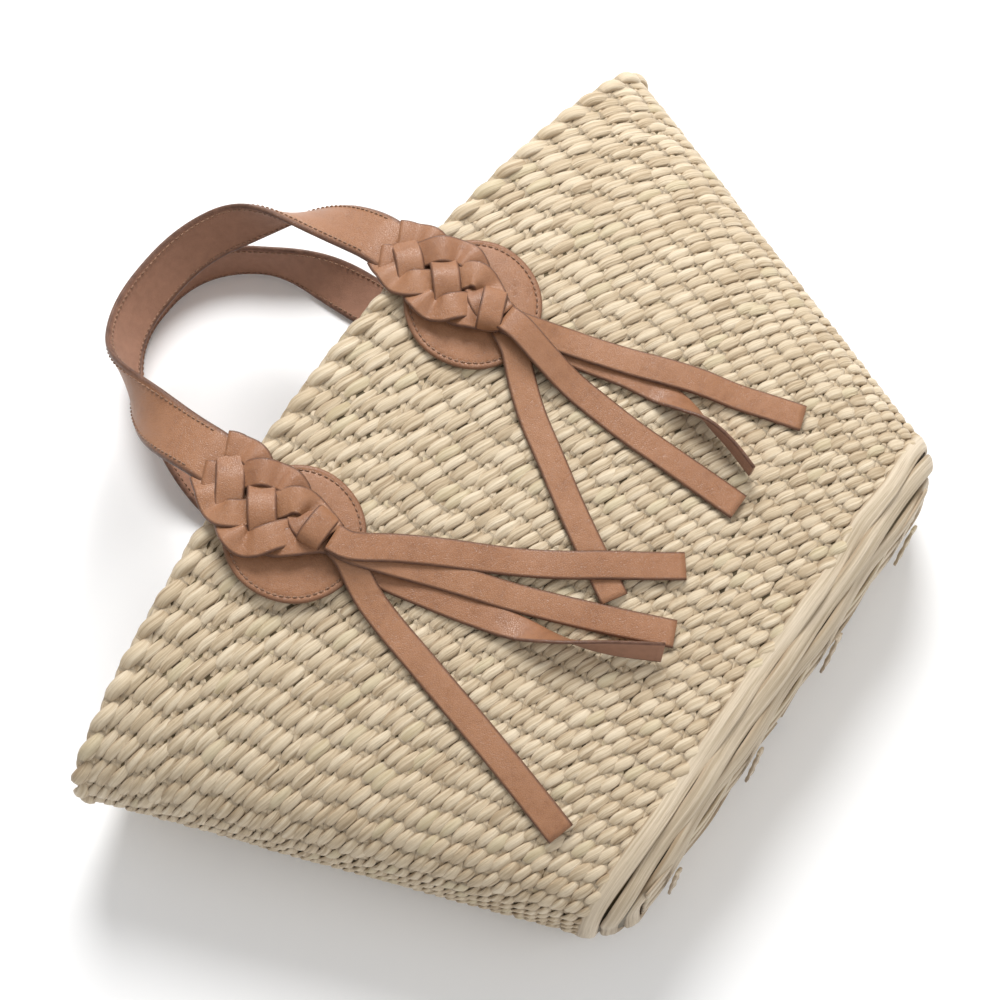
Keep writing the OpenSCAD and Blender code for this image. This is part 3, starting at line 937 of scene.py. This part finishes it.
# Handles: middle, reach, droop and fold line in metres, the turn on edge at the middle and the arch angle
# over which it comes, both in degrees, the rise of the strap's end over the fold line, and which way
# the outer side faces at the ends
HINGE_REACH, HINGE_RISE = 0.063, 0.0023
FRONT_FOLD = on_front(np.array([0.0, HINGE_REACH, HINGE_RISE]), 0.0, KNOT_Y)
HANDLES = {
    "front": {"x": HANDLE_SHIFT, "reach": 0.090, "droop": 0.042, "y": FRONT_FOLD[1], "z": FRONT_FOLD[2],
              "roll": 100.0, "run": 58.0, "rise": 0.0, "face": 1},
    "rear": {"x": 0.0, "reach": 0.118, "droop": 0.0, "y": REAR_FOLD_Y, "z": 0.0,
             "roll": 85.0, "run": 46.0, "rise": 0.0018, "face": -1},
}
ARCH_POWER = 0.84
HINGE_GAP = 0.0035
FOLD_LEAD, FOLD_END, FOLD_POINTS = 0.0085, 0.0015, 5
FLOOR_GAP = 0.0003
# Handle seams: distance in from the strap's edge and past its ends, and thread radii
SEAM_INSET, SEAM_START = 0.0027, 0.010
STRAP_THREAD_R = 0.0004


def handle_line(handle):
    """The strap's middle line and its outer face's direction, from one fold to the other."""
    start = math.degrees(math.asin((HINGE_GAP / handle["reach"]) ** (1 / ARCH_POWER)))
    phi = np.linspace(start, 180 - start, 160)
    rad = np.radians(phi)
    roll = np.radians(handle["roll"] * smooth(np.minimum(phi, 180 - phi) / handle["run"]))
    rise = 0.0
    if handle["face"] < 0:
        rise = FLOOR_GAP + STRAP_T / 2 * np.cos(roll) + STRAP_W / 2 * np.sin(roll)
    line = np.stack([
        handle["x"] + HANDLE_GAP / 2 * bent(np.cos(rad), ARCH_POWER),
        handle["y"] + handle["reach"] * np.sin(rad) ** ARCH_POWER,
        handle["z"] - handle["droop"] * np.sin(rad) + rise,
    ], -1)
    along = along_of(line)
    up = unit(np.array([0.0, handle["droop"], handle["reach"]]))
    out = unit(np.cross(along, up))
    above = np.cross(out, along)
    face = above * handle["face"] * np.cos(roll)[:, None] + out * np.sin(roll)[:, None]
    back = np.array([0.0, -1.0, 0.0])
    if handle["face"] > 0:
        back = np.array([0.0, -math.cos(PANEL_TILT), -math.sin(PANEL_TILT)])
    steps = np.linspace(FOLD_LEAD, FOLD_END, FOLD_POINTS)[:, None]
    first, last = (np.array([line[k][0], handle["y"], handle["z"] + handle["rise"]]) for k in (0, -1))
    line = np.vstack([first + steps * back, line, last + steps[::-1] * back])
    face = np.vstack([np.repeat(face[:1], FOLD_POINTS, 0), face, np.repeat(face[-1:], FOLD_POINTS, 0)])
    columns = resample(np.hstack([line, face]), 0.0022)
    soft = columns.copy()
    soft[1:-1] = (columns[:-2] + 2 * columns[1:-1] + columns[2:]) / 4
    return soft[:, :3], unit(soft[:, 3:])


class BEACHBAG_OT_cut_straps(BagOperator, bpy.types.Operator):
    """Cut, fold and stitch the two handles"""

    bl_idname = "beachbag.cut_straps"
    bl_label = "Cut Straps"

    def execute(self, context):
        settings = context.scene.beachbag_leather
        width = settings.strap_width
        for key, handle in HANDLES.items():
            line, face = handle_line(handle)
            run = length_along(line)
            leather, thread = Builder(), Builder()
            strip(leather, line, face, width, STRAP_T, cup=0.0005, seed=0.5)
            side = unit(np.cross(along_of(line), face))
            inner = (run > SEAM_START) & (run < run[-1] - SEAM_START)
            for across in (-1, 1):
                for over in (-1, 1):
                    beside = side * across * (width / 2 - SEAM_INSET)
                    seam = line + beside + face * over * (STRAP_T / 2 + 0.0002 * over)
                    stitches(thread, seam[inner], face[inner] * over, settings.stitch_pitch, STRAP_THREAD_R)
            band = leather.make(f"{key}_handle_leather", get_material("leather"))
            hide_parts(f"{key}_strap", f"{key}_strap_lining")
            seam = thread.make(f"{key}_handle_stitches", get_material("thread"))
            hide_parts(f"{key}_strap_thread")
            for made in (band, seam):
                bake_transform(made)
        for side, x in (("left", -REAR_X), ("right", REAR_X)):
            tab = Builder()
            y = np.linspace(-TAB_L, 0, 30) + REAR_FOLD_Y - TAB_GAP
            line = np.stack([np.full_like(y, x), y, np.full_like(y, TAB_LEVEL)], -1)
            strip(tab, line, np.broadcast_to(-UP, line.shape), width, TAB_T, seed=0.3)
            made = tab.make(f"{side}_rear_tab_leather", get_material("leather"))
            place(made, "root", "leather", f"rear_{side}_tab")
        return {"FINISHED"}


LACE_STEP = 0.003
# Lace routes: x, y and the height of the lace's middle over the panel in metres, and its turn in degrees
LACES = {
    "left_lace_1": ("left_tassel", 0.31, [
        (-0.074, 0.0755, 0.0134, 0), (-0.072, 0.066, 0.0127, 0), (-0.06, 0.051, 0.008, 0),
        (-0.049, 0.034, 0.0059, 0), (-0.039, 0.017, 0.004, 0), (-0.029, 0.001, 0.0022, 0),
        (-0.0195, -0.014, 0.0036, 0), (-0.009, -0.028, 0.0037, 0), (0.002, -0.043, 0.003, 0),
        (0.013, -0.057, 0.0013, 0),
    ]),
    "left_lace_2": ("left_tassel", 0.62, [
        (-0.074, 0.0755, 0.0114, 0), (-0.073, 0.066, 0.0106, 0), (-0.066, 0.05, 0.0058, 0),
        (-0.0585, 0.032, 0.0037, 0), (-0.052, 0.014, 0.0036, 0), (-0.046, -0.002, 0.0018, 0),
        (-0.037, -0.024, 0.0013, 0), (-0.027, -0.047, 0.0013, 0), (-0.016, -0.071, 0.0013, 0),
    ]),
    "left_lace_3": ("left_tassel", 0.15, [
        (-0.074, 0.0755, 0.0074, 0), (-0.074, 0.066, 0.0066, 0), (-0.072, 0.05, 0.0016, 0),
        (-0.068, 0.032, 0.0014, 0), (-0.063, 0.012, 0.0014, 0), (-0.057, -0.01, 0.0024, -10),
        (-0.051, -0.03, 0.0062, -60), (-0.041, -0.05, 0.0068, -98), (-0.0275, -0.072, 0.0064, -110),
    ]),
    "left_lace_4": ("left_tassel", 0.88, [
        (-0.074, 0.0755, 0.0094, 0), (-0.076, 0.066, 0.0086, 0), (-0.084, 0.05, 0.0036, 0),
        (-0.089, 0.034, 0.0019, 0), (-0.0935, 0.016, 0.0016, 0), (-0.099, -0.006, 0.0016, 0),
        (-0.105, -0.03, 0.0016, 0), (-0.112, -0.056, 0.0016, 0), (-0.119, -0.081, 0.0018, 0),
    ]),
    "right_lace_1": ("right_tassel", 0.72, [
        (0.058, 0.0755, 0.0108, 0), (0.06, 0.066, 0.0108, 0), (0.0675, 0.05, 0.005, 0),
        (0.073, 0.034, 0.004, 0), (0.079, 0.017, 0.0038, 0), (0.0855, 0, 0.0042, 0),
        (0.0905, -0.014, 0.0038, 0), (0.0955, -0.03, 0.0015, 0), (0.101, -0.046, 0.0013, 0),
        (0.106, -0.061, 0.0013, 0),
    ]),
    "right_lace_2": ("right_tassel", 0.2, [
        (0.058, 0.0755, 0.0088, 0), (0.0595, 0.066, 0.0087, 0), (0.0645, 0.05, 0.0027, 0),
        (0.0685, 0.034, 0.0014, 0), (0.073, 0.017, 0.0014, 0), (0.0755, 0, 0.0016, -4),
        (0.0755, -0.014, 0.005, -40), (0.0745, -0.028, 0.0072, -80), (0.072, -0.042, 0.0072, -88),
        (0.067, -0.057, 0.0072, -88),
    ]),
    "right_lace_3": ("right_tassel", 0.45, [
        (0.058, 0.0755, 0.0128, 0), (0.0575, 0.066, 0.013, 0), (0.055, 0.05, 0.0076, 0),
        (0.053, 0.034, 0.0026, 0), (0.052, 0.018, 0.0013, 0), (0.051, 0, 0.0013, 0),
        (0.051, -0.02, 0.0013, 0), (0.051, -0.04, 0.0013, 0), (0.051, -0.061, 0.0013, 0),
    ]),
    "right_lace_4": ("root", 0.95, [
        (0.0556, 0.0746, 0.0062, 0), (0.0505, 0.065, 0.0058, 0), (0.04, 0.053, 0.0024, 0),
        (0.029, 0.039, 0.0014, 0), (0.017, 0.02, 0.0013, 0), (0.006, 0.003, 0.0013, 0),
        (-0.003, -0.012, 0.0013, 0), (-0.011, -0.026, 0.0013, 0), (-0.019, -0.04, 0.0013, 0),
    ]),
}


class BEACHBAG_OT_lay_laces(BagOperator, bpy.types.Operator):
    """Lay the flat laces of both tassels over the front panel"""

    bl_idname = "beachbag.lay_laces"
    bl_label = "Lay Laces"

    def execute(self, context):
        settings = context.scene.beachbag_leather
        for name, (body, seed, route) in LACES.items():
            in_radians = np.array(route, float) * np.array([1, 1, 1, math.pi / 180])
            x, y, high, turn = resample(curve_through(in_radians), LACE_STEP).T
            normal = panel_normal(x, y)
            line = np.stack([x, y, panel_z(x, y) + high], -1)
            along = along_of(line)
            side = unit(np.cross(UP, along))
            face = normal * np.cos(turn)[:, None] - side * np.sin(turn)[:, None]
            lace = Builder()
            strip(lace, line, face, settings.lace_width, settings.lace_thickness,
                  cup=0.0003, wave=0.00025, seed=seed)
            made = lace.make(f"{name}_leather", get_material("leather"))
            place(made, body, "leather", name)
        return {"FINISHED"}


# ---- Stage ----

FLOOR_SIZE, FLOOR_LEVEL = 8, -0.0004
TARGET = (0.0, 0.023, 0.045)
CAMERA_SHIFT = (-0.025, 0.025)
# Lights: name, place, size, and share of the key light's power
LIGHTS = (("key", (0.95, 0.75, 1.35), 0.9, 1.0), ("soft_fill", (0.2, -1.3, 1.3), 1.4, 0.2))


class BEACHBAG_OT_set_stage(BagOperator, bpy.types.Operator):
    """Set the floor, lights and camera"""

    bl_idname = "beachbag.set_stage"
    bl_label = "Set Stage"

    def execute(self, context):
        settings = context.scene.beachbag_stage
        bpy.ops.mesh.primitive_plane_add(size=FLOOR_SIZE, location=(0, 0, FLOOR_LEVEL))
        floor = context.object
        floor.name = "studio_floor"
        floor.data.materials.append(get_material("floor"))
        target = Vector(TARGET)
        a, e = settings.azimuth, settings.elevation
        back = Vector((math.sin(a) * math.cos(e), -math.cos(a) * math.cos(e), math.sin(e)))
        data = bpy.data.cameras.new("camera")
        data.lens = settings.lens
        data.sensor_width = 36
        data.shift_x, data.shift_y = CAMERA_SHIFT
        camera = bpy.data.objects.new("camera", data)
        camera.location = target + back * settings.distance
        camera.rotation_euler = (-back).to_track_quat("-Z", "Y").to_euler()
        context.scene.collection.objects.link(camera)
        context.scene.camera = camera
        for name, place_at, size, share in LIGHTS:
            lamp = bpy.data.lights.new(name, "AREA")
            lamp.shape = "DISK"
            lamp.size = size
            lamp.energy = settings.key * share
            made = bpy.data.objects.new(name, lamp)
            made.location = place_at
            made.rotation_euler = (target - Vector(place_at)).to_track_quat("-Z", "Y").to_euler()
            context.scene.collection.objects.link(made)
        world = bpy.data.worlds.new("studio")
        world.use_nodes = True
        background = world.node_tree.nodes["Background"]
        background.inputs["Color"].default_value = (1.0, 1.0, 1.0, 1)
        background.inputs["Strength"].default_value = settings.fill
        context.scene.world = world
        context.scene.view_settings.view_transform = "Standard"
        return {"FINISHED"}


OPERATORS = (
    BEACHBAG_OT_set_stage,
    BEACHBAG_OT_lay_laces,
    BEACHBAG_OT_weave_wall,
    BEACHBAG_OT_bind_rim,
    BEACHBAG_OT_weave_base,
    BEACHBAG_OT_cut_pads,
    BEACHBAG_OT_plait_thongs,
    BEACHBAG_OT_cut_straps,
)


class BEACHBAG_PT_panel(bpy.types.Panel):
    """The bag's makers, in the order they run"""

    bl_idname = "BEACHBAG_PT_panel"
    bl_label = "Beach Bag"
    bl_space_type = "VIEW_3D"
    bl_region_type = "UI"
    bl_category = "Beach Bag"

    def draw(self, context):
        for maker in OPERATORS:
            self.layout.operator(maker.bl_idname)
        for group in ("beachbag_weave", "beachbag_leather", "beachbag_stage"):
            settings = getattr(context.scene, group)
            box = self.layout.box()
            for key in settings.bl_rna.properties.keys():
                if key not in ("rna_type", "name"):
                    box.prop(settings, key)


SETTINGS = {
    "beachbag_weave": WeaveSettings,
    "beachbag_leather": LeatherSettings,
    "beachbag_stage": StageSettings,
}


def register():
    for kind in (*SETTINGS.values(), *OPERATORS, BEACHBAG_PT_panel):
        bpy.utils.register_class(kind)
    for name, kind in SETTINGS.items():
        setattr(bpy.types.Scene, name, bpy.props.PointerProperty(type=kind))


def unregister():
    for name in SETTINGS:
        delattr(bpy.types.Scene, name)
    for kind in reversed((*SETTINGS.values(), *OPERATORS, BEACHBAG_PT_panel)):
        bpy.utils.unregister_class(kind)


def main():
    register()
    bpy.ops.beachbag.set_stage()
    bpy.ops.beachbag.lay_laces()
    bpy.ops.beachbag.weave_wall()
    bpy.ops.beachbag.bind_rim()
    bpy.ops.beachbag.weave_base()
    bpy.ops.beachbag.cut_pads()
    bpy.ops.beachbag.plait_thongs()
    bpy.ops.beachbag.cut_straps()


if __name__ == "__main__":
    main()
